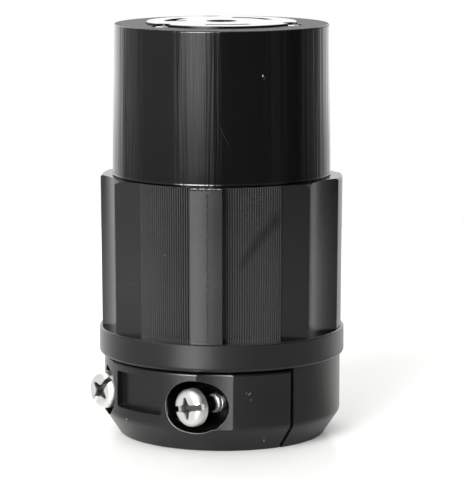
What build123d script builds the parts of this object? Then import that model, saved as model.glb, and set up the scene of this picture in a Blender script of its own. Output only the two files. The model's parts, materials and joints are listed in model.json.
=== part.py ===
from build123d import *
import os
from math import cos, degrees, radians, sin, sqrt

# Locking cord connector, female half, 30 A class, for a three-core cord.
# Z = 0 is the flat cord end that it stands on, the Z axis is the cord's axis,
# the contact face points up and the removable clamp half faces -Y.

os.makedirs("parts", exist_ok=True)

# Lengths along the axis, in millimetres
clamp_length = 18.9
flange_height = 6.5
grip_length = 35.1
nose_length = 34.95
face_rise = 0.5
groove_height = 0.25
foot_bevel_height = 5.6
clamp_top_gap = 0.28

# Radii of the outside, each a step from the nose
nose_radius = 24.85
nose_draft = 0.4
panel_step = 0.35
lobe_height = 2.45
ridge_height = 0.25
flute_floor_step = 0.6
grip_draft = 0.25
flange_lip = 0.45
flange_overhang = 0.9
foot_bevel = 3.8

# Edge rounding
nose_edge_round = 0.4
nose_foot_round = 0.25
flange_lower_round = 1.1
flange_upper_round = 0.4
grip_edge_bevel = 0.4
body_corner_round = 2.0
foot_edge_round = 0.4
clamp_edge_round = 0.5
face_edge_round = 0.15

# Grip outline, as angles from the middle of the front lobe
grip_turn = -52.15
lobe_half_angle = 7.45
panel_end_angle = 39.7
ridge_angle = 52.0
flute_end_angle = 79.8
rib_count = 25
rib_depth = 0.14

# Nose shell and its socket in the rear housing
nose_wall = 3.85
face_ledge = 3.7
face_gap = 0.2
face_plate_thickness = 3.0
spigot_depth = 6.5
spigot_wall = 1.9
seat_ledge = 0.8
moulding_gap = 0.1

# Rear housing inside
chamber_floor_thickness = 3.1
boss_radius = 3.2
boss_web_width = 3.0

# Cord way
cord_radius = 10.5
cord_ridge_height = 0.8
cord_ridge_pitch = 4.5
cord_ridge_count = 3
split_offset = 4.6
split_gap = 0.9

# Cord clamp, whose removable half sits a little askew, lifted at its left
clamp_tilt = 0.4
clamp_lift = 0.2
clamp_screw_spacing = 28.8
clamp_screw_height = 10.9
clamp_pocket_radius = 6.1
clamp_pocket_floor = 16.4
panel_width = 14.5
panel_height = 8.4
panel_bottom = 8.2
panel_floor = 25.0
panel_corner_radius = 0.6
scallop_radius = 25.0
scallop_start_angle = 33.0
scallop_end_angle = 50.3
scallop_bottom = 5.7
scallop_edge_round = 0.4
radius_match = 0.001

# Proportions that all the screws share
head_round_share = 0.55
slot_depth_share = 0.62
cross_depth_share = 0.8
cross_reach_share = 0.58
cross_core_share = 0.21
cross_tip_share = 0.07
tip_bevel_share = 0.25

# Clamp screws, number 8 pan head, and their hexagon nuts
clamp_screw_radius = 2.08
clamp_neck_radius = 1.8
clamp_neck_length = 5.9
clamp_screw_length = 38.1
clamp_head_radius = 4.3
clamp_head_height = 2.8
clamp_head_slot = 1.35
right_head_reach = 25.8
left_head_reach = 25.5
right_slot_turn = 10.5
left_slot_turn = 48.0
screw_hole_gap = 0.3
nut_width = 8.73
nut_thickness = 3.3
nut_seat = 12.0
nut_pocket_gap = 0.1
thread_gap = 0.03

# Contact face and the slots that the plug's blades enter
slot_circle_radius = 11.9
ground_slot_angle = 205.5
ground_slot_span = 46.0
ground_slot_width = 2.6
ground_hook_span = 11.0
ground_hook_depth = 2.6
neutral_slot_angle = 95.0
neutral_slot_span = 56.0
neutral_slot_width = 2.2
line_slot_angle = -37.5
line_slot_span = 50.0
line_slot_width = 1.9
face_flange_thickness = 3.0

# Assembly screws, three from the face down to the rear housing
assembly_circle_step = 0.1
assembly_first_angle = 23.5
assembly_screw_count = 3
assembly_screw_radius = 1.3
assembly_thread_depth = 16.0
assembly_head_radius = 2.0
assembly_head_height = 2.0
assembly_head_gap = 0.2
assembly_seat_thickness = 1.0

# Screw in the middle of the face
face_screw_radius = 1.5
face_screw_length = 12.0
face_head_radius = 2.8
face_head_height = 1.8
face_counterbore_radius = 3.5
face_counterbore_depth = 2.4

# Contact carrier, retainer and terminals
retainer_thickness = 3.5
terminal_space_height = 14.5
terminal_space_width = 10.6
terminal_space_inset = 8.8
pocket_gap = 0.4
leaf_thickness = 0.9
leaf_squeeze = 0.2
contact_top_gap = 0.8
contact_web_height = 1.0
shelf_thickness = 1.3
tab_radius = 15.0
tab_thickness = 1.2
tab_width = 9.4
terminal_screw_rise = 6.5
terminal_screw_radius = 1.9
terminal_screw_length = 6.6
terminal_head_radius = 3.7
terminal_head_height = 2.1
terminal_head_slot = 0.9
neck_width = 5.5
plate_width = 8.4
plate_height = 9.0
plate_thickness = 1.8
plate_gap = 2.6
wire_hole_radius = 2.8

# Dust shield
shield_thickness = 1.5
shield_hole_radius = 5.5
shield_gap = 0.4

# Heights and radii that follow from the sizes above
flange_base = clamp_length
grip_base = flange_base + flange_height
grip_top = grip_base + grip_length
nose_base = grip_top + groove_height
nose_top = grip_top + nose_length
face_top = nose_top + face_rise
chamber_floor = flange_base + chamber_floor_thickness
spigot_base = grip_top - spigot_depth
clamp_height = flange_base - clamp_lift - clamp_top_gap
clamp_hole_height = clamp_screw_height - clamp_lift

nose_base_radius = nose_radius + nose_draft
panel_radius = nose_base_radius + panel_step
lobe_radius = panel_radius + lobe_height
ridge_radius = lobe_radius + ridge_height
flute_floor_radius = panel_radius + flute_floor_step
flange_radius = lobe_radius + flange_lip
body_radius = flange_radius - flange_overhang
foot_radius = body_radius - foot_bevel

nose_bore = nose_radius - nose_wall
spigot_radius = nose_bore + spigot_wall
socket_radius = spigot_radius + moulding_gap
chamber_radius = socket_radius - seat_ledge
inner_radius = nose_bore - face_gap
face_radius = nose_bore - face_ledge
assembly_circle_radius = face_radius + assembly_circle_step

ring_base = nose_top - face_plate_thickness
carrier_top = ring_base - face_flange_thickness
retainer_top = spigot_base + retainer_thickness
terminal_top = retainer_top + terminal_space_height

split_front = -split_offset - split_gap / 2
split_back = -split_offset + split_gap / 2
clamp_screw_sides = {"left": -clamp_screw_spacing / 2, "right": clamp_screw_spacing / 2}
clamp_head_reaches = {"left": left_head_reach, "right": right_head_reach}
clamp_slot_turns = {"left": left_slot_turn, "right": right_slot_turn}
terminal_height = retainer_top + terminal_screw_rise
assembly_seat = ring_base + assembly_seat_thickness
pocket_angle_gap = degrees(pocket_gap / slot_circle_radius)

# Each pole of the connector: where its slot lies, how long and how wide it is
poles = {
    "ground": (ground_slot_angle, ground_slot_span, ground_slot_width),
    "neutral": (neutral_slot_angle, neutral_slot_span, neutral_slot_width),
    "line": (line_slot_angle, line_slot_span, line_slot_width),
}
outside = 2 * flange_radius
quarter_turn = 90


def point_at(radius, angle):
    """A point in the XY plane, given by its distance from the axis and its angle."""
    return (radius * cos(radians(angle)), radius * sin(radians(angle)))


def spoke(angle, height=0.0):
    """A horizontal plane whose X axis points outwards at an angle round the axis."""
    return Plane(origin=(0, 0, height), x_dir=(*point_at(1, angle), 0), z_dir=(0, 0, 1))


def arc_band(inner, outer, start, end):
    """A flat band between two radii and two angles, added to the current sketch."""
    with BuildLine() as band:
        inner_arc = CenterArc((0, 0), inner, start, end - start)
        outer_arc = CenterArc((0, 0), outer, start, end - start)
        Line(inner_arc @ 0, outer_arc @ 0)
        Line(inner_arc @ 1, outer_arc @ 1)
    make_face(band.edges())


def cross_outline(head_radius):
    """A four-armed cross whose arms narrow towards their tips, added to the current sketch."""
    reach = head_radius * cross_reach_share
    core = head_radius * cross_core_share
    tip = head_radius * cross_tip_share
    corners = []
    for turn in (0, quarter_turn, 2 * quarter_turn, 3 * quarter_turn):
        for along, aside in ((reach, -tip), (reach, tip), (core, core)):
            x, y = point_at(along, turn)
            corners.append((x - aside * sin(radians(turn)), y + aside * cos(radians(turn))))
    with BuildLine() as cross:
        Polyline(*corners, close=True)
    make_face(cross.edges())


def assembly_points(radius):
    """The places of the assembly screws, for a sketch in the XY plane."""
    return PolarLocations(radius, assembly_screw_count, assembly_first_angle)


def finish(piece, name):
    """Labels a finished piece and writes its file."""
    piece.label = name
    export_step(piece, "parts/" + name + ".step")


# Rear housing: grip, flange and the fixed half of the cord clamp in one moulding


def grip_outline(plane, shrink):
    """Cross-section of the grip: two lobes, four ribbed panels, four facets and four flutes."""
    lobe = lobe_radius - shrink
    panel = panel_radius - shrink
    ridge = ridge_radius - shrink
    flute = flute_floor_radius - shrink
    rib_step = (panel_end_angle - lobe_half_angle) / rib_count
    flute_middle = (ridge_angle + flute_end_angle) / 2
    with BuildSketch(plane) as outline:
        with BuildLine():
            for half_turn in (0, 180):
                middle = grip_turn + half_turn
                CenterArc((0, 0), lobe, middle - lobe_half_angle, 2 * lobe_half_angle)
                CenterArc((0, 0), lobe, middle + flute_end_angle, 180 - 2 * flute_end_angle)
                for side in (-1, 1):
                    first_root = point_at(panel - rib_depth, middle + side * lobe_half_angle)
                    last_root = point_at(panel - rib_depth, middle + side * panel_end_angle)
                    ridge_point = point_at(ridge, middle + side * ridge_angle)
                    Line(point_at(lobe, middle + side * lobe_half_angle), first_root)
                    for rib in range(rib_count):
                        start = lobe_half_angle + rib * rib_step
                        ThreePointArc(
                            point_at(panel - rib_depth, middle + side * start),
                            point_at(panel, middle + side * (start + rib_step / 2)),
                            point_at(panel - rib_depth, middle + side * (start + rib_step)),
                        )
                    Line(last_root, ridge_point)
                    ThreePointArc(
                        ridge_point,
                        point_at(flute, middle + side * flute_middle),
                        point_at(lobe, middle + side * flute_end_angle),
                    )
        make_face()
    return outline.sketch


def round_body(top, top_round):
    """The round cord end, bevelled towards its foot, up to a given height."""
    with BuildPart() as body:
        with BuildSketch(Plane.XZ):
            with BuildLine():
                Polyline(
                    (0, 0),
                    (foot_radius, 0),
                    (body_radius, foot_bevel_height),
                    (body_radius, top),
                    (0, top),
                    close=True,
                )
            make_face()
        revolve(axis=Axis.Z)
        rings = body.edges().filter_by(GeomType.CIRCLE).group_by(Axis.Z)
        fillet(rings[1], radius=body_corner_round)
        rings = body.edges().filter_by(GeomType.CIRCLE).group_by(Axis.Z)
        fillet(rings[0], radius=foot_edge_round)
        if top_round > 0:
            rings = body.edges().filter_by(GeomType.CIRCLE).group_by(Axis.Z)
            fillet(rings[-1], radius=top_round)
    return body.part


# The way for the cord, with its gripping ridges, cut from both halves of the clamp
with BuildPart() as cord_way:
    with BuildSketch(Plane.XZ):
        lowest_ridge = clamp_screw_height - cord_ridge_pitch * (cord_ridge_count - 1) / 2
        wall = [(0, -clamp_length), (cord_radius, -clamp_length)]
        for ridge_number in range(cord_ridge_count):
            crest = lowest_ridge + cord_ridge_pitch * ridge_number
            wall.append((cord_radius, crest - cord_ridge_height))
            wall.append((cord_radius - cord_ridge_height, crest))
            wall.append((cord_radius, crest + cord_ridge_height))
        wall.append((cord_radius, grip_base))
        wall.append((0, grip_base))
        with BuildLine():
            Polyline(*wall, close=True)
        make_face()
    revolve(axis=Axis.Z)

with BuildPart() as flange:
    with BuildSketch(Plane.XY.offset(flange_base)):
        Circle(flange_radius)
    extrude(amount=flange_height)
    fillet(flange.edges().group_by(Axis.Z)[0], radius=flange_lower_round)
    fillet(flange.edges().group_by(Axis.Z)[-1], radius=flange_upper_round)

with BuildPart() as grip:
    add(grip_outline(Plane.XY.offset(grip_base), grip_draft))
    add(grip_outline(Plane.XY.offset(grip_top), 0))
    loft(ruled=True)
    with BuildSketch(Plane.XZ):
        with BuildLine():
            Polyline(
                (lobe_radius - grip_edge_bevel, grip_top),
                (outside, grip_top),
                (outside, grip_top - outside + lobe_radius - grip_edge_bevel),
                close=True,
            )
        make_face()
    revolve(axis=Axis.Z, mode=Mode.SUBTRACT)

with BuildPart() as rear_housing:
    add(round_body(flange_base, 0))
    with BuildSketch(Plane.XY):
        with Locations((0, split_back - outside)):
            Rectangle(2 * outside, 2 * outside)
    extrude(amount=flange_base, mode=Mode.SUBTRACT)
    add(flange.part)
    add(grip.part)
    with BuildSketch(Plane.XY.offset(spigot_base)):
        Circle(socket_radius)
    extrude(amount=spigot_depth, mode=Mode.SUBTRACT)
    with BuildSketch(Plane.XY.offset(chamber_floor)):
        Circle(chamber_radius)
    extrude(amount=spigot_base - chamber_floor, mode=Mode.SUBTRACT)
    add(cord_way.part, mode=Mode.SUBTRACT)
    for boss_number in range(assembly_screw_count):
        boss_angle = assembly_first_angle + boss_number * 360 / assembly_screw_count
        with BuildSketch(spoke(boss_angle, chamber_floor)):
            with Locations((assembly_circle_radius, 0)):
                Circle(boss_radius)
            web_length = chamber_radius + seat_ledge / 2 - assembly_circle_radius
            with Locations((assembly_circle_radius + web_length / 2, 0)):
                Rectangle(web_length, boss_web_width)
        extrude(amount=spigot_base - chamber_floor)
    with BuildSketch(Plane.XY.offset(spigot_base)):
        with assembly_points(assembly_circle_radius):
            Circle(assembly_screw_radius + thread_gap)
    extrude(amount=-assembly_thread_depth - thread_gap, mode=Mode.SUBTRACT)
    with BuildSketch(Plane.XZ.offset(-split_back)):
        with Locations(*[(side, clamp_screw_height) for side in clamp_screw_sides.values()]):
            Circle(clamp_screw_radius + screw_hole_gap)
    extrude(amount=-outside, mode=Mode.SUBTRACT)
    with BuildSketch(Plane.XZ.offset(-nut_seat)):
        with Locations(*[(side, clamp_screw_height) for side in clamp_screw_sides.values()]):
            RegularPolygon(nut_width / 2 + nut_pocket_gap, 6, major_radius=False)
    extrude(amount=-outside, mode=Mode.SUBTRACT)
finish(rear_housing.part, "rear_housing")

# Removable half of the cord clamp

with BuildPart() as cord_clamp:
    add(round_body(clamp_height, clamp_edge_round))
    with BuildSketch(Plane.XY):
        with Locations((0, split_front + outside)):
            Rectangle(2 * outside, 2 * outside)
    extrude(amount=clamp_height, mode=Mode.SUBTRACT)
    add(cord_way.part, mode=Mode.SUBTRACT)
    for mirror_side in (-1, 1):
        scallop_middle = -quarter_turn + mirror_side * (scallop_start_angle + scallop_end_angle) / 2
        half_opening = radians(scallop_end_angle - scallop_start_angle) / 2
        half_chord = body_radius * sin(half_opening)
        chord_distance = body_radius * cos(half_opening)
        scallop_axis = chord_distance + sqrt(scallop_radius ** 2 - half_chord ** 2)
        with BuildSketch(Plane.XY.offset(scallop_bottom)):
            with Locations(point_at(scallop_axis, scallop_middle)):
                Circle(scallop_radius)
        extrude(amount=clamp_length, mode=Mode.SUBTRACT)
    top_edges = cord_clamp.faces().sort_by(Axis.Z)[-1].edges().filter_by(GeomType.CIRCLE)
    scallop_tops = top_edges.filter_by(lambda edge: abs(edge.radius - scallop_radius) < radius_match)
    fillet(scallop_tops, radius=scallop_edge_round)
    with BuildSketch(Plane.XZ.offset(panel_floor)):
        with Locations((0, panel_bottom + panel_height / 2)):
            RectangleRounded(panel_width, panel_height, panel_corner_radius)
    extrude(amount=outside, mode=Mode.SUBTRACT)
    with BuildSketch(Plane.XZ.offset(clamp_pocket_floor)):
        with Locations(*[(side, clamp_hole_height) for side in clamp_screw_sides.values()]):
            Circle(clamp_pocket_radius)
    extrude(amount=outside, mode=Mode.SUBTRACT)
    with BuildSketch(Plane.XZ):
        with Locations(*[(side, clamp_hole_height) for side in clamp_screw_sides.values()]):
            Circle(clamp_screw_radius + screw_hole_gap)
    extrude(amount=outside, mode=Mode.SUBTRACT)
tilt_sine = sin(radians(clamp_tilt))
tilt_cosine = cos(radians(clamp_tilt))
clamp_seat = Plane(
    origin=(-clamp_hole_height * tilt_sine, 0, clamp_screw_height - clamp_hole_height * tilt_cosine),
    x_dir=(tilt_cosine, 0, -tilt_sine),
    z_dir=(tilt_sine, 0, tilt_cosine),
)
finish(clamp_seat * cord_clamp.part, "cord_clamp")


# Nose shell: the smooth barrel round the contacts, with a spigot that plugs into the grip


def screw_seats(plate_base):
    """Stepped holes that seat the heads of the assembly screws, from a plate's base up."""
    with BuildPart() as seats:
        with BuildSketch(Plane.XY.offset(assembly_seat)):
            with assembly_points(assembly_circle_radius):
                Circle(assembly_head_radius + assembly_head_gap)
        extrude(amount=nose_length)
        with BuildSketch(Plane.XY.offset(plate_base)):
            with assembly_points(assembly_circle_radius):
                Circle(assembly_screw_radius + screw_hole_gap)
        extrude(amount=nose_length)
    return seats.part


with BuildPart() as nose_housing:
    with BuildSketch(Plane.XZ):
        with BuildLine():
            Polyline(
                (face_radius + face_gap, nose_top),
                (nose_radius, nose_top),
                (nose_base_radius, nose_base),
                (spigot_radius, nose_base),
                (spigot_radius, spigot_base),
                (nose_bore, spigot_base),
                (nose_bore, ring_base),
                (face_radius + face_gap, ring_base),
                close=True,
            )
        make_face()
    revolve(axis=Axis.Z)
    top_rings = nose_housing.edges().filter_by(GeomType.CIRCLE).filter_by_position(
        Axis.Z, nose_top, nose_top
    )
    fillet(top_rings.sort_by(SortBy.RADIUS)[-1], radius=nose_edge_round)
    foot_rings = nose_housing.edges().filter_by(GeomType.CIRCLE).filter_by_position(
        Axis.Z, nose_base, nose_base
    )
    fillet(foot_rings.sort_by(SortBy.RADIUS)[-1], radius=nose_foot_round)
    add(screw_seats(ring_base), mode=Mode.SUBTRACT)
finish(nose_housing.part, "nose_housing")

# Contact face: a disc that stands slightly proud of the nose, on a flange behind it

with BuildPart() as contact_face:
    with BuildSketch(Plane.XY.offset(carrier_top)):
        Circle(inner_radius)
    extrude(amount=face_flange_thickness)
    with BuildSketch(Plane.XY.offset(ring_base)):
        Circle(face_radius)
    extrude(amount=face_top - ring_base)
    fillet(contact_face.edges().group_by(Axis.Z)[-1], radius=face_edge_round)
    with BuildSketch(Plane.XY.offset(face_top)):
        for middle, span, width in poles.values():
            arc_band(
                slot_circle_radius - width / 2,
                slot_circle_radius + width / 2,
                middle - span / 2,
                middle + span / 2,
            )
        hook_end = ground_slot_angle + ground_slot_span / 2
        arc_band(
            slot_circle_radius - ground_slot_width / 2 - ground_hook_depth,
            slot_circle_radius,
            hook_end - ground_hook_span,
            hook_end,
        )
        Circle(face_screw_radius + screw_hole_gap)
    extrude(amount=carrier_top - face_top, mode=Mode.SUBTRACT)
    with BuildSketch(Plane.XY.offset(face_top)):
        Circle(face_counterbore_radius)
    extrude(amount=-face_counterbore_depth, mode=Mode.SUBTRACT)
    add(screw_seats(carrier_top), mode=Mode.SUBTRACT)
finish(contact_face.part, "contact_face")

# Contact carrier: holds the three contacts and gives each terminal its own open bay

with BuildPart() as contact_carrier:
    with BuildSketch(Plane.XY.offset(retainer_top)):
        Circle(inner_radius)
    extrude(amount=carrier_top - retainer_top)
    for middle, span, width in poles.values():
        leaf_reach = (width - leaf_squeeze) / 2 + leaf_thickness + pocket_gap
        with BuildSketch(Plane.XY.offset(terminal_top)):
            arc_band(
                slot_circle_radius - leaf_reach,
                slot_circle_radius + leaf_reach,
                middle - span / 2 - pocket_angle_gap,
                middle + span / 2 + pocket_angle_gap,
            )
        extrude(amount=carrier_top - terminal_top, mode=Mode.SUBTRACT)
        bay_depth = outside - terminal_space_inset
        with BuildSketch(spoke(middle, retainer_top)):
            with Locations((terminal_space_inset + bay_depth / 2, 0)):
                Rectangle(bay_depth, terminal_space_width)
        extrude(amount=terminal_space_height, mode=Mode.SUBTRACT)
    with BuildSketch(Plane.XY.offset(retainer_top)):
        with assembly_points(assembly_circle_radius):
            Circle(assembly_screw_radius + screw_hole_gap)
    extrude(amount=carrier_top - retainer_top, mode=Mode.SUBTRACT)
    with BuildSketch(Plane.XY.offset(carrier_top)):
        Circle(face_screw_radius + thread_gap)
    extrude(amount=-face_screw_length, mode=Mode.SUBTRACT)
finish(contact_carrier.part, "contact_carrier")

# Terminal retainer: closes the carrier behind the terminals, with one hole for each wire

with BuildPart() as terminal_retainer:
    with BuildSketch(Plane.XY.offset(spigot_base)):
        Circle(inner_radius)
        for middle, _, _ in poles.values():
            with Locations(point_at(tab_radius - plate_gap / 2, middle)):
                Circle(wire_hole_radius, mode=Mode.SUBTRACT)
        with assembly_points(assembly_circle_radius):
            Circle(assembly_screw_radius + screw_hole_gap, mode=Mode.SUBTRACT)
    extrude(amount=retainer_thickness)
finish(terminal_retainer.part, "terminal_retainer")


# Screws, built along Z with the underside of the head at Z = 0


def headed_screw(head_radius, head_height, shank_radius, length, slot_width, crossed):
    """A pan head screw with a driving slot and, where wanted, a cross recess over it."""
    head_round = head_height * head_round_share
    with BuildPart() as screw:
        with BuildSketch(Plane.XY):
            Circle(head_radius)
        extrude(amount=head_height)
        fillet(screw.edges().group_by(Axis.Z)[-1], radius=head_round)
        with BuildSketch(Plane.XY.offset(head_height)):
            Rectangle(2 * head_radius + slot_width, slot_width)
        extrude(amount=-head_height * slot_depth_share, mode=Mode.SUBTRACT)
        if crossed:
            with BuildSketch(Plane.XY.offset(head_height)):
                cross_outline(head_radius)
            extrude(amount=-head_height * cross_depth_share, mode=Mode.SUBTRACT)
        with BuildSketch(Plane.XY):
            Circle(shank_radius)
        extrude(amount=-length)
        chamfer(screw.edges().group_by(Axis.Z)[0], length=shank_radius * tip_bevel_share)
    return screw.part


# Clamp screws and their nuts, the left screw standing a little further out

for side_name, side in clamp_screw_sides.items():
    slot_turn = clamp_slot_turns[side_name]
    head_seat = Plane(
        origin=(side, clamp_head_height - clamp_head_reaches[side_name], clamp_screw_height),
        x_dir=(cos(radians(slot_turn)), 0, sin(radians(slot_turn))),
        z_dir=(0, -1, 0),
    )
    with BuildPart() as clamp_screw:
        add(
            headed_screw(
                clamp_head_radius,
                clamp_head_height,
                clamp_screw_radius,
                clamp_screw_length,
                clamp_head_slot,
                True,
            )
        )
        with BuildSketch(Plane.XY):
            Circle(clamp_screw_radius)
            Circle(clamp_neck_radius, mode=Mode.SUBTRACT)
        extrude(amount=-clamp_neck_length, mode=Mode.SUBTRACT)
    finish(head_seat * clamp_screw.part, "clamp_screw_" + side_name)
    with BuildPart() as clamp_nut:
        with BuildSketch(Plane.XZ.offset(-nut_seat)):
            with Locations((side, clamp_screw_height)):
                RegularPolygon(nut_width / 2, 6, major_radius=False)
                Circle(clamp_screw_radius + thread_gap, mode=Mode.SUBTRACT)
        extrude(amount=-nut_thickness)
    finish(clamp_nut.part, "clamp_nut_" + side_name)

# Assembly screws

for number in range(assembly_screw_count):
    screw_angle = assembly_first_angle + number * 360 / assembly_screw_count
    assembly_screw = headed_screw(
        assembly_head_radius,
        assembly_head_height,
        assembly_screw_radius,
        assembly_seat - spigot_base + assembly_thread_depth,
        terminal_head_slot,
        False,
    )
    screw_place = Plane(origin=(*point_at(assembly_circle_radius, screw_angle), assembly_seat))
    finish(screw_place * assembly_screw, "assembly_screw_" + str(number + 1))

face_screw = headed_screw(
    face_head_radius,
    face_head_height,
    face_screw_radius,
    face_screw_length,
    terminal_head_slot,
    True,
)
face_screw_seat = spoke(line_slot_angle, face_top - face_counterbore_depth)
finish(face_screw_seat * face_screw, "face_screw")

# Contacts, and the screw and pressure plate of each terminal

for pole, (middle, span, width) in poles.items():
    start = middle - span / 2
    end = middle + span / 2
    jaw = (width - leaf_squeeze) / 2
    jaw_outer = jaw + leaf_thickness
    web_base = terminal_top + moulding_gap
    shelf_top = terminal_top - moulding_gap
    shelf_start = slot_circle_radius - jaw_outer
    shelf_length = tab_radius + tab_thickness - shelf_start
    outwards = (*point_at(1, middle), 0)
    sideways = (*point_at(1, middle + quarter_turn), 0)
    tab_face = Plane(
        origin=(*point_at(tab_radius, middle), terminal_height), x_dir=sideways, z_dir=outwards
    )
    with BuildPart() as contact:
        with BuildSketch(Plane.XY.offset(web_base)):
            arc_band(slot_circle_radius - jaw_outer, slot_circle_radius + jaw_outer, start, end)
        extrude(amount=contact_web_height)
        with BuildSketch(Plane.XY.offset(web_base)):
            arc_band(slot_circle_radius - jaw_outer, slot_circle_radius - jaw, start, end)
            arc_band(slot_circle_radius + jaw, slot_circle_radius + jaw_outer, start, end)
        extrude(amount=carrier_top - contact_top_gap - web_base)
        with BuildSketch(spoke(middle, shelf_top)):
            with Locations((slot_circle_radius, 0)):
                Rectangle(2 * jaw_outer, neck_width)
        extrude(amount=web_base - shelf_top + contact_web_height)
        with BuildSketch(spoke(middle, shelf_top)):
            with Locations((shelf_start + shelf_length / 2, 0)):
                Rectangle(shelf_length, tab_width)
        extrude(amount=-shelf_thickness)
        with BuildSketch(spoke(middle, retainer_top)):
            with Locations((tab_radius + tab_thickness / 2, 0)):
                Rectangle(tab_thickness, tab_width)
        extrude(amount=shelf_top - retainer_top)
        with BuildSketch(tab_face):
            Circle(terminal_screw_radius + screw_hole_gap)
        extrude(amount=tab_thickness, mode=Mode.SUBTRACT)
    finish(contact.part, pole + "_contact")
    with BuildPart() as pressure_plate:
        with BuildSketch(tab_face.offset(-plate_gap - plate_thickness)):
            Rectangle(plate_width, plate_height)
            Circle(terminal_screw_radius + thread_gap, mode=Mode.SUBTRACT)
        extrude(amount=plate_thickness)
    finish(pressure_plate.part, pole + "_pressure_plate")
    terminal_screw = headed_screw(
        terminal_head_radius,
        terminal_head_height,
        terminal_screw_radius,
        terminal_screw_length,
        terminal_head_slot,
        True,
    )
    finish(tab_face.offset(tab_thickness) * terminal_screw, pole + "_terminal_screw")

# Dust shield on the floor of the wiring chamber, round the cord

with BuildPart() as dust_shield:
    with BuildSketch(Plane.XY.offset(chamber_floor)):
        Circle(assembly_circle_radius - boss_radius - shield_gap)
        Circle(shield_hole_radius, mode=Mode.SUBTRACT)
    extrude(amount=shield_thickness)
finish(dust_shield.part, "dust_shield")
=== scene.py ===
import json
from math import cos, pi, radians, sin

import bmesh
import bpy
import numpy as np
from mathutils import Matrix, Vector


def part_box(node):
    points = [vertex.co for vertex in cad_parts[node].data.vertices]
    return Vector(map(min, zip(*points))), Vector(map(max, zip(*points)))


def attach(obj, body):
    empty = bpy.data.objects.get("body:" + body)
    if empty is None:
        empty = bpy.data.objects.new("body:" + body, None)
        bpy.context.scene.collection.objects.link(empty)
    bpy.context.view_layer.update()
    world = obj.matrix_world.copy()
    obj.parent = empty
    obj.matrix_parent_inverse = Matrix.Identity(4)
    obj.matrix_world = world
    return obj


# Locking cord connector, standing on its cord end on a white table.
# Lengths here are millimetres unless a line says otherwise, and mm() makes them metres.

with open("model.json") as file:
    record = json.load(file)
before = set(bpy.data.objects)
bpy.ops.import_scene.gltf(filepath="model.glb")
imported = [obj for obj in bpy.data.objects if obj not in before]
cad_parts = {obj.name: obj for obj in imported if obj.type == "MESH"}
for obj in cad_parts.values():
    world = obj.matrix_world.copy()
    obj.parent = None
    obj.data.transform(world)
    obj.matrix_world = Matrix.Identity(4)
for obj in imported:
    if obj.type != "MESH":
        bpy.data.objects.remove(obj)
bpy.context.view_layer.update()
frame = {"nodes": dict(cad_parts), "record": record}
nodes = frame["nodes"]
print("frame loaded:", len(nodes), "parts")


def mm(value):
    # millimetres to metres, for one number or a whole array
    return value * 0.001


def linearColour(code):
    # sRGB hex to linear: the standard curve, with its straight foot below 0.04045
    parts = [int(code[i:i + 2], 16) / 255 for i in (1, 3, 5)]
    return [p / 12.92 if p <= 0.04045 else ((p + 0.055) / 1.055) ** 2.4 for p in parts] + [1.0]


def addNode(tree, kind, inputs=None, **settings):
    # adds one node with its settings; an input that is another node's output is linked, and any other is set
    node = tree.nodes.new(kind)
    for name, value in settings.items():
        setattr(node, name, value)
    for place, value in (inputs or {}).items():
        if isinstance(value, bpy.types.NodeSocket):
            tree.links.new(value, node.inputs[place])
        else:
            node.inputs[place].default_value = value
    return node


def addMath(tree, operation, *terms):
    return addNode(tree, "ShaderNodeMath", dict(enumerate(terms)), operation=operation).outputs[0]


def addLength(tree, vector):
    return addNode(tree, "ShaderNodeVectorMath", {0: vector}, operation="LENGTH").outputs["Value"]


def addFade(tree, value, start, end):
    # goes evenly from 0 at the start to 1 at the end, whichever of them is the larger
    return addNode(tree, "ShaderNodeMapRange", {0: value, 1: start, 2: end}).outputs[0]


def addRamp(tree, value, stops):
    # grey levels given at places from 0 to 1
    node = addNode(tree, "ShaderNodeValToRGB", {0: value})
    ramp = node.color_ramp
    for spare in list(ramp.elements)[1:]:
        ramp.elements.remove(spare)
    ramp.elements[0].position = stops[0][0]
    ramp.elements[0].color = [stops[0][1]] * 3 + [1.0]
    for position, level in stops[1:]:
        ramp.elements.new(position).color = [level] * 3 + [1.0]
    return node.outputs[0]


def addColourMix(tree, share, under, over, **settings):
    # from one colour to another by the share; each is a hex code or another node's output
    under, over = [linearColour(c) if isinstance(c, str) else c for c in (under, over)]
    mix = addNode(tree, "ShaderNodeMix", {0: share, 6: under, 7: over}, data_type="RGBA", **settings)
    return mix.outputs[2]


def addValueMix(tree, share, under, over):
    return addNode(tree, "ShaderNodeMix", {0: share, 2: under, 3: over}, data_type="FLOAT").outputs[0]


def addNoise(tree, place, width, detail, roughness=0.5):
    # noise with lumps of about the given width
    values = {"Vector": place, "Scale": 1 / mm(width), "Detail": detail, "Roughness": roughness}
    return addNode(tree, "ShaderNodeTexNoise", values).outputs["Fac"]


viewpoint = {
    "axisDistance": 647.0,   # level distance from the connector's axis
    "height": 142.0,
    "azimuth": -45.0,        # where the camera stands round the connector, in degrees
    "pitch": 8.5,            # how far it looks down, and past the axis to the right, in degrees
    "pan": 0.224,
    "focalPixels": 2810.0,
    "longSidePixels": 477.0,
    "sensorWidth": 36.0,
    "nearest": 10.0,         # the camera sees nothing that is nearer than this
}


def placeCamera(v):
    data = bpy.data.cameras.new("camera")
    data.sensor_width = v["sensorWidth"]
    data.lens = v["focalPixels"] / v["longSidePixels"] * data.sensor_width
    data.clip_start = mm(v["nearest"])
    camera = bpy.data.objects.new("camera", data)
    bpy.context.scene.collection.objects.link(camera)
    around = radians(v["azimuth"])
    heading = around + pi - radians(v["pan"])
    pitch = radians(v["pitch"])
    stand = Vector((v["axisDistance"] * cos(around), v["axisDistance"] * sin(around), v["height"]))
    camera.location = mm(stand)
    ahead = Vector((cos(heading) * cos(pitch), sin(heading) * cos(pitch), -sin(pitch)))
    camera.rotation_euler = ahead.to_track_quat("-Z", "Y").to_euler()
    bpy.context.scene.camera = camera


placeCamera(viewpoint)
print("camera placed")

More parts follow.
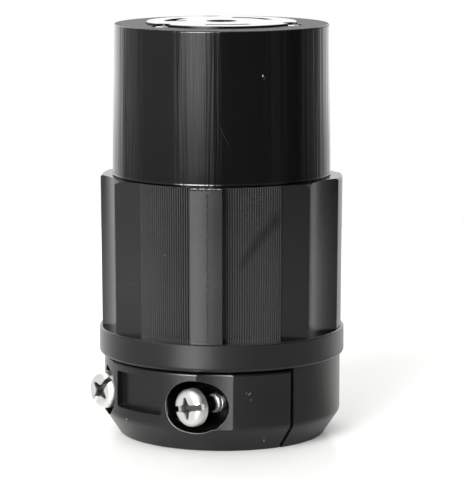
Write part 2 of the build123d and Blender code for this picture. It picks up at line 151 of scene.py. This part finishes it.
studio = {
    # how bright the things round the table are at each heading, and how that changes with height, in degrees
    "surround": [
        (-180, 0.85), (-174, 0.5), (-170, 0.3), (-168, 0.08), (-166, 0.08), (-163, 0.3), (-158, 0.34),
        (-149, 0.25), (-138, 0.17), (-92, 0.2), (-60, 0.1), (-50, 0.01), (5, 0.01), (10, 0.06),
        (20, 0.05), (26, 0.01), (46, 0.01), (54, 0.09), (64, 0.125), (76, 0.13), (84, 0.34), (90, 0.55),
        (112, 0.82), (135, 0.74), (160, 0.9), (174, 0.9), (180, 0.6),
    ],
    "surroundUp": [(-9, 0.75), (-6.5, 0.6), (-5, 1.0)],
    "surroundStrength": 2.0,
    # the soft box, spread by heading and by height in the same way
    "keyAcross": [
        (-93, 0.0), (-86, 0.5), (-76, 0.78), (-71, 0.8), (-70, 1.0), (-69, 1.0), (-68, 0.78),
        (-63, 0.6), (-59, 0.4), (-54, 0.15), (-47, 0.0),
    ],
    "keyUp": [
        (-7, 0.0), (-6.2, 0.003), (-5.4, 0.02), (-4.4, 0.08), (-3.6, 0.1), (-1, 0.07), (3, 0.9),
        (8, 1.0), (20, 1.0), (34, 0.3), (60, 0.0),
    ],
    "keyStrength": 32.0,
    # a pale ceiling
    "overheadUp": [(45, 0.0), (60, 1.0)],
    "overheadStrength": 1.0,
}


def headingStops(stops):
    # ramp places that run once round, from -180 to 180 degrees
    return [((heading + 180) / 360, level) for heading, level in stops]


def heightStops(stops):
    # ramp places that run with the sine of the height, from straight below to straight above
    return [(0.5 + 0.5 * sin(radians(height)), level) for height, level in stops]


def makeStudio(s):
    # a world of plain soft panels, told apart by heading and height; straight views of it are white
    world = bpy.data.worlds.new("softStudio")
    world.use_nodes = True
    tree = world.node_tree
    tree.nodes.clear()
    direction = addNode(tree, "ShaderNodeTexCoord").outputs["Generated"]
    x, y, z = addNode(tree, "ShaderNodeSeparateXYZ", {0: direction}).outputs
    heading = addMath(tree, "ARCTAN2", y, x)
    turn = addMath(tree, "MULTIPLY_ADD", heading, 0.5 / pi, 0.5)
    lift = addMath(tree, "MULTIPLY_ADD", z, 0.5, 0.5)
    walls = addMath(tree, "MULTIPLY", addRamp(tree, turn, headingStops(s["surround"])),
                    addRamp(tree, lift, heightStops(s["surroundUp"])))
    key = addMath(tree, "MULTIPLY", addRamp(tree, turn, headingStops(s["keyAcross"])),
                  addRamp(tree, lift, heightStops(s["keyUp"])))
    overhead = addRamp(tree, lift, heightStops(s["overheadUp"]))
    room = addMath(tree, "MULTIPLY", walls, s["surroundStrength"])
    lit = addMath(tree, "MULTIPLY_ADD", key, s["keyStrength"], room)
    level = addMath(tree, "MULTIPLY_ADD", overhead, s["overheadStrength"], lit)
    straight = addNode(tree, "ShaderNodeLightPath").outputs["Is Camera Ray"]
    shown = addValueMix(tree, straight, level, 1.0)
    glow = addNode(tree, "ShaderNodeBackground", {"Color": linearColour("#ffffff"), "Strength": shown})
    addNode(tree, "ShaderNodeOutputWorld", {0: glow.outputs[0]})
    bpy.context.scene.world = world


def emptyMaterial(name):
    material = bpy.data.materials.new(name)
    material.use_nodes = True
    material.node_tree.nodes.clear()
    return material, material.node_tree


def fullCircle(count):
    # evenly spaced angles once round
    return np.linspace(0, 2 * pi, count, endpoint=False)


table = {
    "radius": 330.0,
    "corners": 96,
    "colour": "#dcdcda",
    "whitening": 0.17,       # what straight views add, so that the bare table is white
    "sheen": 0.09,           # how much of the table's look is a blurred mirror image
    "sheenRoughness": 0.09,
    # the rest is painted light and shade that the board shows only in the connector's shiny sides: painted
    # shade from right to left between two distances measured leftwards from the axis
    "mirroredRight": "#c6c6c4",
    "mirroredLeft": "#dededc",
    "leftward": (-0.34, -0.94, 0),
    "mirrorShade": (-20.0, 50.0),
    # painted shade near the connector, dimmer or brighter outwards, by distance from the axis
    "mirrorFade": [(35.0, 1.0), (52.0, 0.5), (100.0, 0.5), (300.0, 1.0)],
    # and painted light from the bright backdrop behind the connector, between two cosines from straight
    # behind
    "mirroredBehind": "#d6d6d4",
    "backward": (-0.707, 0.707, 0),
    "behindShade": (0.0, 0.5),
}


def makeTable(t):
    # a flat disc: one polygon whose corners are radius times (cos, sin) of evenly spaced angles
    turn = fullCircle(t["corners"])
    rim = np.stack([np.cos(turn), np.sin(turn), 0 * turn], axis=1) * mm(t["radius"])
    mesh = bpy.data.meshes.new("table")
    mesh.from_pydata(rim.tolist(), [], [list(range(t["corners"]))])
    disc = bpy.data.objects.new("table", mesh)
    bpy.context.scene.collection.objects.link(disc)
    material, tree = emptyMaterial("whiteTableBoard")
    path = addNode(tree, "ShaderNodeLightPath")
    place = addNode(tree, "ShaderNodeTexCoord").outputs["Object"]
    # the tones that glossy rays see are painted light and shade
    leftward = addNode(tree, "ShaderNodeVectorMath", {0: place, 1: t["leftward"]}, operation="DOT_PRODUCT")
    shade = addFade(tree, leftward.outputs["Value"], mm(t["mirrorShade"][0]), mm(t["mirrorShade"][1]))
    mirrored = addColourMix(tree, shade, t["mirroredRight"], t["mirroredLeft"])
    outward = addMath(tree, "MULTIPLY", addLength(tree, place), 1 / mm(t["radius"]))
    fade = addRamp(tree, outward, [(away / t["radius"], level) for away, level in t["mirrorFade"]])
    faded = addColourMix(tree, 1.0, mirrored, fade, blend_type="MULTIPLY")
    direction = addNode(tree, "ShaderNodeVectorMath", {0: place}, operation="NORMALIZE").outputs[0]
    backward = addNode(tree, "ShaderNodeVectorMath", {0: direction, 1: t["backward"]},
                       operation="DOT_PRODUCT")
    behind = addFade(tree, backward.outputs["Value"], *t["behindShade"])
    reflected = addColourMix(tree, behind, faded, t["mirroredBehind"])
    tone = addColourMix(tree, path.outputs["Is Glossy Ray"], t["colour"], reflected)
    paper = addNode(tree, "ShaderNodeBsdfDiffuse", {"Color": tone})
    mirror = addNode(tree, "ShaderNodeBsdfGlossy",
                     {"Color": linearColour("#ffffff"), "Roughness": t["sheenRoughness"]})
    board = addNode(tree, "ShaderNodeMixShader", {0: t["sheen"], 1: paper.outputs[0], 2: mirror.outputs[0]})
    seen = addMath(tree, "MAXIMUM", path.outputs["Is Camera Ray"], path.outputs["Is Transmission Ray"])
    glow = addNode(tree, "ShaderNodeEmission", {"Strength": addMath(tree, "MULTIPLY", seen, t["whitening"])})
    both = addNode(tree, "ShaderNodeAddShader", {0: board.outputs[0], 1: glow.outputs[0]})
    addNode(tree, "ShaderNodeOutputMaterial", {0: both.outputs[0]})
    mesh.materials.append(material)


makeStudio(studio)
makeTable(table)
bpy.context.scene.view_settings.view_transform = "Standard"
print("studio ready")

markShape = {
    # a mark also has its place, its half width and half height, its tilt in degrees and its colour or sheen
    "depth": 1.5,            # half the depth of its ellipsoid, across the surface
    "core": 0.6,             # the share of its radius in which it is full
}


def addMark(tree, place, mark):
    # a speck, a scratch or a band of painted shade: 1 in the core of an ellipsoid that is deep across the
    # surface, so that it shows as a small oval, and fading to 0 at its rim
    mark = markShape | mark
    across, up = mark["size"]
    heading = np.arctan2(mark["at"][1], mark["at"][0])
    shape = {0: place, "Location": mm(Vector(mark["at"])), "Rotation": (radians(mark["tilt"]), 0, heading),
             "Scale": mm(Vector((mark["depth"], across, up)))}
    local = addNode(tree, "ShaderNodeMapping", shape, vector_type="TEXTURE")
    return addFade(tree, addLength(tree, local.outputs[0]), 1.0, mark["core"])


def addPocketShade(tree, place, p, colour, gloss):
    # inside the screw pockets the mould was polished, and as little light gets in, their walls get painted
    # shade
    x, _, z = addNode(tree, "ShaderNodeSeparateXYZ", {0: place}).outputs
    sideways = addMath(tree, "SUBTRACT", addMath(tree, "ABSOLUTE", x), mm(p["side"]))
    upward = addMath(tree, "SUBTRACT", z, mm(p["height"]))
    flat = addNode(tree, "ShaderNodeCombineXYZ", {0: sideways, 2: upward}).outputs[0]
    inside = addFade(tree, addLength(tree, flat), mm(p["radius"] + p["blur"]), mm(p["radius"] - p["blur"]))
    return addColourMix(tree, inside, colour, p["colour"]), addValueMix(tree, inside, gloss, p["roughness"])


def mouldedNylon(name, m):
    # moulded nylon: a fine grain from the mould, upright draw marks, uneven gloss and a few pale specks
    material, tree = emptyMaterial(name)
    where = addNode(tree, "ShaderNodeTexCoord")
    place = where.outputs["Object"]
    grain = addNoise(tree, place, m["grainWidth"], m["grainDetail"])
    cloud = addNoise(tree, place, m["cloudWidth"], m["cloudDetail"])
    drawn = addNode(tree, "ShaderNodeMapping", {"Vector": place, "Scale": (1.0, 1.0, m["drawnOut"])})
    marks = addNoise(tree, drawn.outputs[0], m["markWidth"], m["markDetail"], m["markRoughness"])
    dust = addNode(tree, "ShaderNodeTexVoronoi", {"Vector": place, "Scale": 1 / mm(m["dustSpacing"])},
                   feature="F1")
    speck = addRamp(tree, dust.outputs["Distance"],
                    [(m["dustSize"] * m["dustCore"], 1.0), (m["dustSize"], 0.0)])
    colour = addColourMix(tree, speck, addColourMix(tree, cloud, m["dark"], m["light"]), m["dust"])
    for mark in m["marks"]:
        colour = addColourMix(tree, addMark(tree, place, mark), colour, mark["colour"])
    low, high = m["roughness"] - m["unevenness"], m["roughness"] + m["unevenness"]
    gloss = addNode(tree, "ShaderNodeMapRange", {0: cloud, 3: low, 4: high}).outputs[0]
    sheen = m["sheen"]
    # bands of lower sheen: painted shade
    for paintedShadeBand in m["paintedShadeBands"]:
        sheen = addValueMix(tree, addMark(tree, place, paintedShadeBand), sheen, paintedShadeBand["sheen"])
    if "top" in m:           # faces that look up are less polished than the walls
        top = m["top"]
        facing = addNode(tree, "ShaderNodeSeparateXYZ", {0: where.outputs["Normal"]}).outputs[2]
        level = addFade(tree, facing, *top["facing"])
        gloss = addValueMix(tree, level, gloss, top["roughness"])
        sheen = addValueMix(tree, level, sheen, top["sheen"])
    if "pockets" in m:
        colour, gloss = addPocketShade(tree, place, m["pockets"], colour, gloss)
    drawBump = addNode(tree, "ShaderNodeBump",
                       {"Height": marks, "Strength": m["markStrength"], "Distance": mm(m["markDepth"])})
    bump = addNode(tree, "ShaderNodeBump",
                   {"Height": grain, "Normal": drawBump.outputs[0], "Strength": m["grainStrength"],
                    "Distance": mm(m["grainDepth"])})
    shader = addNode(tree, "ShaderNodeBsdfPrincipled",
                     {"Base Color": colour, "Roughness": gloss, "IOR": m["ior"], "Normal": bump.outputs[0],
                      "Specular IOR Level": sheen})
    addNode(tree, "ShaderNodeOutputMaterial", {0: shader.outputs[0]})
    return material


anyNylon = {
    "grainDetail": 2.0, "cloudDetail": 3.0, "markDetail": 3.0, "markRoughness": 0.6,
    "drawnOut": 0.012,       # width of a draw mark over its length
    "dustCore": 0.6,         # the share of a speck's radius in which it is full
    "sheen": 0.5,
    "marks": [], "paintedShadeBands": [],
}
satinNylon = anyNylon | {
    "dark": "#0b0b0b", "light": "#101010",
    "grainWidth": 0.3, "grainDepth": 0.02, "grainStrength": 0.5,
    "markWidth": 1.2, "markDepth": 0.01, "markStrength": 0.5,
    "cloudWidth": 9.0,
    "roughness": 0.26, "unevenness": 0.04, "ior": 1.52,
    "dust": "#8a8a86", "dustSpacing": 5.0, "dustSize": 0.02,
}
gripNylon = satinNylon | {
    "paintedShadeBands": [               # painted shade: bands of lower sheen across the ribs
        {"at": (24.4, -7.4, 52.6), "size": (3.2, 2.1), "tilt": 44, "core": 0.1, "sheen": 0.2},
        {"at": (23.5, -10.0, 49.8), "size": (3.6, 1.9), "tilt": 47, "core": 0.1, "sheen": 0.2},
        {"at": (22.5, -12.2, 47.0), "size": (3.6, 1.6), "tilt": 53, "core": 0.1, "sheen": 0.22},
        {"at": (21.4, -14.0, 44.0), "size": (3.4, 1.3), "tilt": 59, "core": 0.1, "sheen": 0.25},
    ],
    "marks": [                # painted shade of small pits on the lobe, beside the parting line
        {"at": (16.87, -22.22, 57.87), "size": (0.12, 0.3), "tilt": 0, "colour": "#020202"},
        {"at": (16.6, -22.42, 56.29), "size": (0.1, 0.2), "tilt": 0, "colour": "#020202"},
    ],
}
clampNylon = satinNylon | {
    # painted shade in the screw pockets: a darker colour, with the polish's lower roughness
    "pockets": {"side": 14.4, "height": 10.9, "radius": 6.2, "blur": 0.02, "colour": "#050505",
                "roughness": 0.12},
    "marks": [                # scratches and specks
        {"at": (23.42, -14.6, 13.9), "size": (0.1, 0.5), "tilt": -42, "colour": "#6e6e6c"},
        {"at": (23.6, -14.3, 12.6), "size": (0.12, 0.15), "tilt": 0, "colour": "#5a5a58"},
        {"at": (23.51, -9.88, 2.41), "size": (0.2, 0.24), "tilt": 20, "colour": "#767674"},
        {"at": (23.4, -10.1, 3.1), "size": (0.05, 0.3), "tilt": -20, "colour": "#5f5f5d"},
        {"at": (-3.5, -27.3, 6.0), "size": (0.16, 0.2), "tilt": 0, "colour": "#9b9b98"},
    ],
}
glossNylon = anyNylon | {
    "dark": "#0a0a0b", "light": "#0e0e0f",
    "grainWidth": 1.6, "grainDepth": 0.004, "grainStrength": 0.4,
    "markWidth": 1.3, "markDepth": 0.13, "markStrength": 1.0,
    "cloudWidth": 14.0,
    "roughness": 0.085, "unevenness": 0.025, "ior": 1.52,
    "dust": "#70706e", "dustSpacing": 7.0, "dustSize": 0.014,
}
ringNylon = glossNylon | {
    # facing is the upward part of the normal between which a face comes to count as a top
    "top": {"facing": (0.9, 0.99), "roughness": 0.42, "sheen": 0.1},
    "marks": [                # a chip with a scratch below it, and a long fine scratch
        {"at": (22.94, -9.94, 85.34), "size": (0.22, 0.26), "tilt": 0, "colour": "#9a9a98"},
        {"at": (23.12, -9.55, 84.8), "size": (0.07, 0.55), "tilt": -38, "colour": "#474746"},
        {"at": (18.1, -17.4, 72.2), "size": (0.06, 3.6), "tilt": 26, "colour": "#272727"},
    ],
}
faceNylon = glossNylon | {"grainWidth": 0.6, "grainDepth": 0.006, "markDepth": 0.015}
carrierNylon = anyNylon | {
    "dark": "#232325", "light": "#2b2b2d",
    "grainWidth": 0.4, "grainDepth": 0.02, "grainStrength": 0.5,
    "markWidth": 2.0, "markDepth": 0.01, "markStrength": 0.2,
    "cloudWidth": 8.0,
    "roughness": 0.45, "unevenness": 0.05, "ior": 1.5,
    "dust": "#5d5d5a", "dustSpacing": 5.0, "dustSize": 0.015,
}


def addBand(tree, depth, part):
    # 1 between a part's front and back, fading over the two lengths given for each
    front = addFade(tree, depth, mm(part["front"][0]), mm(part["front"][1]))
    back = addFade(tree, depth, mm(part["back"][0]), mm(part["back"][1]))
    return addMath(tree, "MULTIPLY", front, back)


def addScrewShade(tree, place, m, head, colour):
    # painted shade: darker walls inside the head's slot and cross, and a dark shank; depth runs back from the
    # head
    recess, shankShade = m["recess"], m["shankShade"]
    fromHead = addNode(tree, "ShaderNodeVectorMath", {0: place, 1: head}, operation="SUBTRACT").outputs[0]
    x, depth, z = addNode(tree, "ShaderNodeSeparateXYZ", {0: fromHead}).outputs
    flat = addNode(tree, "ShaderNodeCombineXYZ", {0: x, 2: z}).outputs[0]
    near = addFade(tree, addLength(tree, flat), mm(recess["rim"][0]), mm(recess["rim"][1]))
    inside = addMath(tree, "MULTIPLY", addBand(tree, depth, recess), near)
    colour = addColourMix(tree, inside, colour, recess["colour"])
    return addColourMix(tree, addBand(tree, depth, shankShade), colour, shankShade["colour"])


def platedMetal(name, m, head=None):
    # plated or stamped metal: a fine grain that breaks up the gloss, slight tarnish in clouds, and, where the
    # place of a screw's head is given, painted shade on that screw
    material, tree = emptyMaterial(name)
    place = addNode(tree, "ShaderNodeTexCoord").outputs["Object"]
    cloud = addNoise(tree, place, m["cloudWidth"], m["cloudDetail"])
    grain = addNoise(tree, place, m["grainWidth"], m["grainDetail"])
    colour = addColourMix(tree, cloud, m["dark"], m["light"])
    if head:
        colour = addScrewShade(tree, place, m, head, colour)
    low, high = m["roughness"] - m["unevenness"], m["roughness"] + m["unevenness"]
    gloss = addNode(tree, "ShaderNodeMapRange", {0: grain, 3: low, 4: high}).outputs[0]
    bump = addNode(tree, "ShaderNodeBump",
                   {"Height": grain, "Strength": m["grainStrength"], "Distance": mm(m["grainDepth"])})
    shader = addNode(tree, "ShaderNodeBsdfPrincipled",
                     {"Metallic": 1.0, "Base Color": colour, "Roughness": gloss, "Normal": bump.outputs[0]})
    addNode(tree, "ShaderNodeOutputMaterial", {0: shader.outputs[0]})
    return material


anyMetal = {"cloudDetail": 4.0, "grainDetail": 3.0}
nickelPlate = anyMetal | {
    "dark": "#e9e8e6", "light": "#fbfaf8",
    "grainWidth": 0.25, "grainDepth": 0.03, "grainStrength": 0.35,
    "cloudWidth": 2.5, "roughness": 0.42, "unevenness": 0.08,
    # painted shade on a clamp screw, in the head's slot and cross and on its shank: where each starts and is
    # full, in depth and, for the rim, outwards
    "recess": {"front": (0.25, 0.6), "back": (2.6, 2.5), "rim": (3.4, 3.2), "colour": "#747474"},
    "shankShade": {"front": (2.85, 2.95), "back": (8.1, 7.6), "colour": "#262626"},
}
stampedBrass = anyMetal | {
    "dark": "#b98f3c", "light": "#d1ab5b",
    "grainWidth": 0.3, "grainDepth": 0.02, "grainStrength": 0.3,
    "cloudWidth": 3.0, "roughness": 0.32, "unevenness": 0.08,
}
greenScrewPlate = anyMetal | {
    "dark": "#1f6b34", "light": "#2f8247",
    "grainWidth": 0.3, "grainDepth": 0.02, "grainStrength": 0.3,
    "cloudWidth": 3.0, "roughness": 0.35, "unevenness": 0.06,
}


def headCentre(side):
    # the middle of the front of a clamp screw's head
    low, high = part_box("clamp_screw_" + side)
    return ((low[0] + high[0]) / 2, low[1], (low[2] + high[2]) / 2)


finishes = {
    "satin_black_nylon": mouldedNylon("satinMouldedNylon", satinNylon),
    "gloss_black_nylon": mouldedNylon("polishedMouldedNylon", ringNylon),
    "carrier_plastic": mouldedNylon("matteMouldedNylon", carrierNylon),
    "shield_rubber": mouldedNylon("mouldedRubber", carrierNylon),
    "nickel_steel": platedMetal("nickelPlatedSteel", nickelPlate),
    "green_steel": platedMetal("greenPlatedSteel", greenScrewPlate),
    "contact_brass": platedMetal("stampedBrass", stampedBrass),
}
ownFinish = {
    "rear_housing": mouldedNylon("satinGripNylon", gripNylon),
    "cord_clamp": mouldedNylon("satinClampNylon", clampNylon),
    "contact_face": mouldedNylon("polishedFaceNylon", faceNylon),
    "clamp_screw_left": platedMetal("nickelPlatedScrewLeft", nickelPlate, headCentre("left")),
    "clamp_screw_right": platedMetal("nickelPlatedScrewRight", nickelPlate, headCentre("right")),
}
print("materials made")


def ringGrid(rings, name, joined=False):
    # a closed surface from an array of rings of points: a quad between neighbours, and either the last ring
    # joined to the first or a cap on each end; normals are then turned outwards
    along, across = rings.shape[:2]
    i, j = np.meshgrid(np.arange(along if joined else along - 1), np.arange(across), indexing="ij")
    nextI, nextJ = (i + 1) % along, (j + 1) % across
    corners = [i * across + j, i * across + nextJ, nextI * across + nextJ, nextI * across + j]
    faces = np.stack(corners, axis=-1).reshape(-1, 4).tolist()
    sides = len(faces)
    if not joined:
        faces += [list(range(across))[::-1], [(along - 1) * across + m for m in range(across)]]
    mesh = bpy.data.meshes.new(name)
    mesh.from_pydata(rings.reshape(-1, 3).tolist(), [], faces)
    shell = bmesh.new()
    shell.from_mesh(mesh)
    bmesh.ops.recalc_face_normals(shell, faces=shell.faces)
    shell.to_mesh(mesh)
    shell.free()
    mesh.polygons.foreach_set("use_smooth", [face < sides for face in range(len(faces))])
    made = bpy.data.objects.new(name, mesh)
    bpy.context.scene.collection.objects.link(made)
    return made


thread = {
    "pitch": 0.794,
    "turns": 3.2,
    "radius": 2.02,          # from the screw's axis to the middle of the wire-like ridge
    "thickness": 0.19,       # half the ridge's width
    "headToThread": 8.9,     # from the front of the head to the first turn
    "runOut": 0.35,          # turns over which the ridge grows at its start and dies away at its end
    "leastGrown": 0.05,      # its size at both ends, as a share of the full size
    "sinks": 0.1,            # how far it sinks towards the axis there
    "steps": 220,
    "sides": 10,
}


def makeThread(t, side):
    # rolled thread: a thin round ridge carried along a helix, so at turn u and section angle v the point is
    # (radius + thickness cos v) out from the axis and (pitch u + thickness sin v) along it; towards its ends
    # the thickness shrinks and the ridge sinks
    middleX, front, middleZ = headCentre(side)
    u = np.linspace(0, t["turns"], t["steps"])[:, None]
    v = fullCircle(t["sides"])[None, :]
    grown = np.clip(np.minimum(u, t["turns"] - u) / t["runOut"], t["leastGrown"], 1.0)
    out = mm(t["radius"] + t["thickness"] * grown * np.cos(v) - t["sinks"] * (1 - grown))
    along = front + mm(t["headToThread"] + t["pitch"] * u + t["thickness"] * grown * np.sin(v))
    turn = 2 * pi * u
    points = np.stack([middleX + out * np.cos(turn), along, middleZ + out * np.sin(turn)], axis=-1)
    ridge = ringGrid(points, "screwThread" + side.capitalize())
    ridge.data.materials.append(finishes["nickel_steel"])
    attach(ridge, "root")


for sideName in ("left", "right"):
    makeThread(thread, sideName)
print("screw threads made")

partingLine = {
    "heading": -51.6,        # degrees round the connector's axis
    "bottom": 25.8,
    "top": 59.6,
    "width": 0.34,
    "height": 0.11,
    "swell": 0.25,           # the share of the height that comes and goes, and how quickly, in radians per mm
    "swellPace": 3.1,
    "sunk": 0.15,            # how far its back lies inside the housing
    "wander": 0.03,          # how far it strays sideways, over waves of two lengths
    "longWave": 2.7,
    "shortWave": 1.1,
    "shortShare": 1.3,
    "rayStart": 45.0,        # distance from the axis at which the rays start
    "steps": 170,
    "crownPoints": 7,
}


def makePartingLine(p):
    # the seam of the mould: at each height and section angle v the point is half the width times cos v
    # across, and the height times sin v out from the housing's own surface, which a ray finds; both stray a
    # little in waves, and the back of the strip is sunk into the housing
    housing = nodes["rear_housing"]
    heights = np.linspace(p["bottom"], p["top"], p["steps"])
    heading = radians(p["heading"])
    outward = Vector((cos(heading), sin(heading), 0))
    radii = []
    for height in heights:
        start = outward * mm(p["rayStart"]) + Vector((0, 0, mm(height)))
        radii.append(housing.ray_cast(start, -outward)[1].xy.length)
    radii = np.array(radii)[:, None]
    v = np.linspace(0, pi, p["crownPoints"])[None, :]
    waves = np.sin(heights / p["longWave"] + p["shortShare"] * np.sin(heights / p["shortWave"]))[:, None]
    across = mm(p["wander"]) * waves + mm(p["width"] / 2) * np.cos(v)
    swelling = 1 - p["swell"] + p["swell"] * np.sin(heights * p["swellPace"])[:, None]
    rise = mm(p["height"]) * np.sin(v) * swelling
    back = np.concatenate([across[:, -1:], across[:, :1]], axis=1)
    across = np.concatenate([across, back], axis=1)
    out = np.concatenate([radii + rise, radii - mm(p["sunk"]) + 0 * back], axis=1)
    level = mm(heights)[:, None] + 0 * out
    points = np.stack([out * cos(heading) - across * sin(heading),
                       out * sin(heading) + across * cos(heading), level], axis=-1)
    flash = ringGrid(points, "partingLine")
    flash.data.materials.append(finishes["satin_black_nylon"])
    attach(flash, "root")


makePartingLine(partingLine)
print("parting line made")

pocketRim = {
    "search": (6.8, 5.7),    # distances from the screw's axis between which the pocket's edge is looked for
    "searchSteps": 60,
    "leastDrop": 0.25,       # a fall within one step of the search that counts as the edge
    "rayStart": -45.0,       # where along Y the rays start
    "thinnest": 0.04,        # the least and greatest radius of the rim's round section
    "thickest": 0.14,
    "highlightMiddle": 228.0,     # where round the mouth, in degrees from the right, the rim is thickest
    "highlightSpan": 48.0,
    "sunk": 0.04,            # how far it lies behind the clamp's surface
    "steps": 160,
    "sides": 8,
}
# the rim's pale colour is a painted highlight
rimHighlightNylon = satinNylon | {"dark": "#4b4b4a", "light": "#6d6d6b"}
rimHighlightFinish = mouldedNylon("paintedHighlightEdge", rimHighlightNylon)


def makePocketRim(p, side):
    # the rounded mouth of a screw pocket, with a painted highlight in its pale colour: at angle u round the
    # screw, rays feel their way inwards over the clamp's surface, and the path passes where the surface first
    # drops away; a round section is carried along it, whose radius falls from the thickest to the thinnest
    # with e to minus the square of (u - its middle) / its span, so that the painted highlight is widest on
    # the lower left
    clamp = nodes["cord_clamp"]
    centre = headCentre(side)
    reach = mm(np.linspace(p["search"][0], p["search"][1], p["searchSteps"]))
    u = fullCircle(p["steps"])
    path = []
    for turn in u:
        starts = [Vector((centre[0] + r * cos(turn), mm(p["rayStart"]), centre[2] + r * sin(turn)))
                  for r in reach]
        felt = np.array([clamp.ray_cast(start, Vector((0, 1, 0)))[1] for start in starts])
        edge = felt[np.argmax(np.diff(felt[:, 1]) > mm(p["leastDrop"]))]
        path.append(edge + np.array([0, mm(p["sunk"]), 0]))
    path = np.array(path)
    path = (np.roll(path, 1, axis=0) + 2 * path + np.roll(path, -1, axis=0)) / 4
    v = fullCircle(p["sides"])[None, :]
    outward = np.stack([np.cos(u), 0 * u, np.sin(u)], axis=-1)[:, None, :]
    forward = np.array([0.0, -1.0, 0.0])[None, None, :]
    section = np.cos(v)[..., None] * outward + np.sin(v)[..., None] * forward
    highlighted = np.exp(-((np.degrees(u) - p["highlightMiddle"]) / p["highlightSpan"]) ** 2)
    size = p["thinnest"] + (p["thickest"] - p["thinnest"]) * highlighted
    points = path[:, None, :] + mm(size)[:, None, None] * section
    rim = ringGrid(points, "pocketRim" + side.capitalize(), joined=True)
    rim.data.materials.append(rimHighlightFinish)
    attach(rim, "root")


for sideName in ("left", "right"):
    makePocketRim(pocketRim, sideName)
print("pocket rims made")

mouldFlash = {
    "fromHeading": -59.4,    # across the top of the front lobe, in degrees
    "toHeading": -44.9,
    "radius": 27.92,
    "height": 60.5,
    "thinnest": 0.03,        # the bead's radius where it isn't torn, and at both ends
    "tip": 0.01,
    # place along the edge from 0 to 1, half width on the same scale, and thickness of each tear
    "tears": [
        (0.03, 0.015, 0.08), (0.14, 0.05, 0.15), (0.33, 0.035, 0.15), (0.42, 0.018, 0.36),
        (0.53, 0.015, 0.08), (0.59, 0.025, 0.14), (0.64, 0.012, 0.38), (0.73, 0.02, 0.1), (0.9, 0.04, 0.07),
    ],
    "weave": 0.1,            # how far the edge weaves, and how the random draws for it are smoothed
    "smoothing": (0.25, 0.5, 0.25),
    "seed": 11,
    "steps": 240,
    "sides": 8,
}
# the flash's pale colour is a painted highlight
flashNylon = satinNylon | {"dark": "#545452", "light": "#a8a8a5", "cloudWidth": 0.6, "roughness": 0.4}
flashFinish = mouldedNylon("flashHighlightNylon", flashNylon)


def makeFlash(f):
    # torn flash along the top edge of the lobe, its pale colour a painted highlight: a bead carried along an
    # arc; the bead's radius at place s is the thinnest plus, for each tear, its thickness times e to minus
    # the square of (s - its place) / its half width, and the arc weaves a little in and out and up and down
    chance = np.random.default_rng(f["seed"])
    place = np.linspace(0, 1, f["steps"])
    turn = np.radians(f["fromHeading"] + (f["toHeading"] - f["fromHeading"]) * place)
    draws = f["steps"] + len(f["smoothing"]) - 1
    weave, lift = [f["weave"] * (np.convolve(chance.random(draws), f["smoothing"], mode="valid") - 0.5)
                   for _ in range(2)]
    size = f["thinnest"] + sum(thick * np.exp(-((place - at) / half) ** 2)
                               for at, half, thick in f["tears"])
    size[[0, -1]] = f["tip"]
    v = fullCircle(f["sides"])[None, :]
    out = mm(f["radius"] + weave)[:, None] + mm(size)[:, None] * np.cos(v)
    level = mm(f["height"] + lift)[:, None] + mm(size)[:, None] * np.sin(v)
    points = np.stack([out * np.cos(turn)[:, None], out * np.sin(turn)[:, None], level], axis=-1)
    bead = ringGrid(points, "mouldFlash")
    bead.data.materials.append(flashFinish)
    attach(bead, "root")


makeFlash(mouldFlash)
print("mould flash made")

footEdge = {
    "bottom": (25.32, 60.86),    # radius and height of the sloping face's lower end, and of its upper end
    "top": (25.235, 61.22),
    "back": 25.1,                # radius of the hidden side, inside the nose's wall
    "backInset": 0.04,           # how far inside the face's two ends the hidden side ends
    "slopePoints": 5,
    "steps": 240,
}


def makeFootEdge(f):
    # the rolled lower edge of the nose: a slim wedge carried once round the axis, whose outer face is a
    # shallow cone given by points on a straight line, so that its middle is shaded flat
    turn = fullCircle(f["steps"])[:, None]
    slope = np.linspace(f["bottom"], f["top"], f["slopePoints"])
    hidden = [(f["back"], f["top"][1] - f["backInset"]), (f["back"], f["bottom"][1] + f["backInset"])]
    section = np.vstack([slope, hidden])
    out, level = mm(section[None, :, 0]), mm(section[None, :, 1]) + 0 * turn
    points = np.stack([out * np.cos(turn), out * np.sin(turn), level], axis=-1)
    edge = ringGrid(points, "noseFootEdge", joined=True)
    edge.data.materials.append(finishes["gloss_black_nylon"])
    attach(edge, "root")


makeFootEdge(footEdge)
print("nose foot edge made")

slotOf = {part["node"]: part["material_slot"] for part in frame["record"]["subparts"]}
for nodeName, part in nodes.items():
    for slot in part.material_slots:
        slot.material = ownFinish.get(nodeName, finishes[slotOf[nodeName]])
print("finishes given")
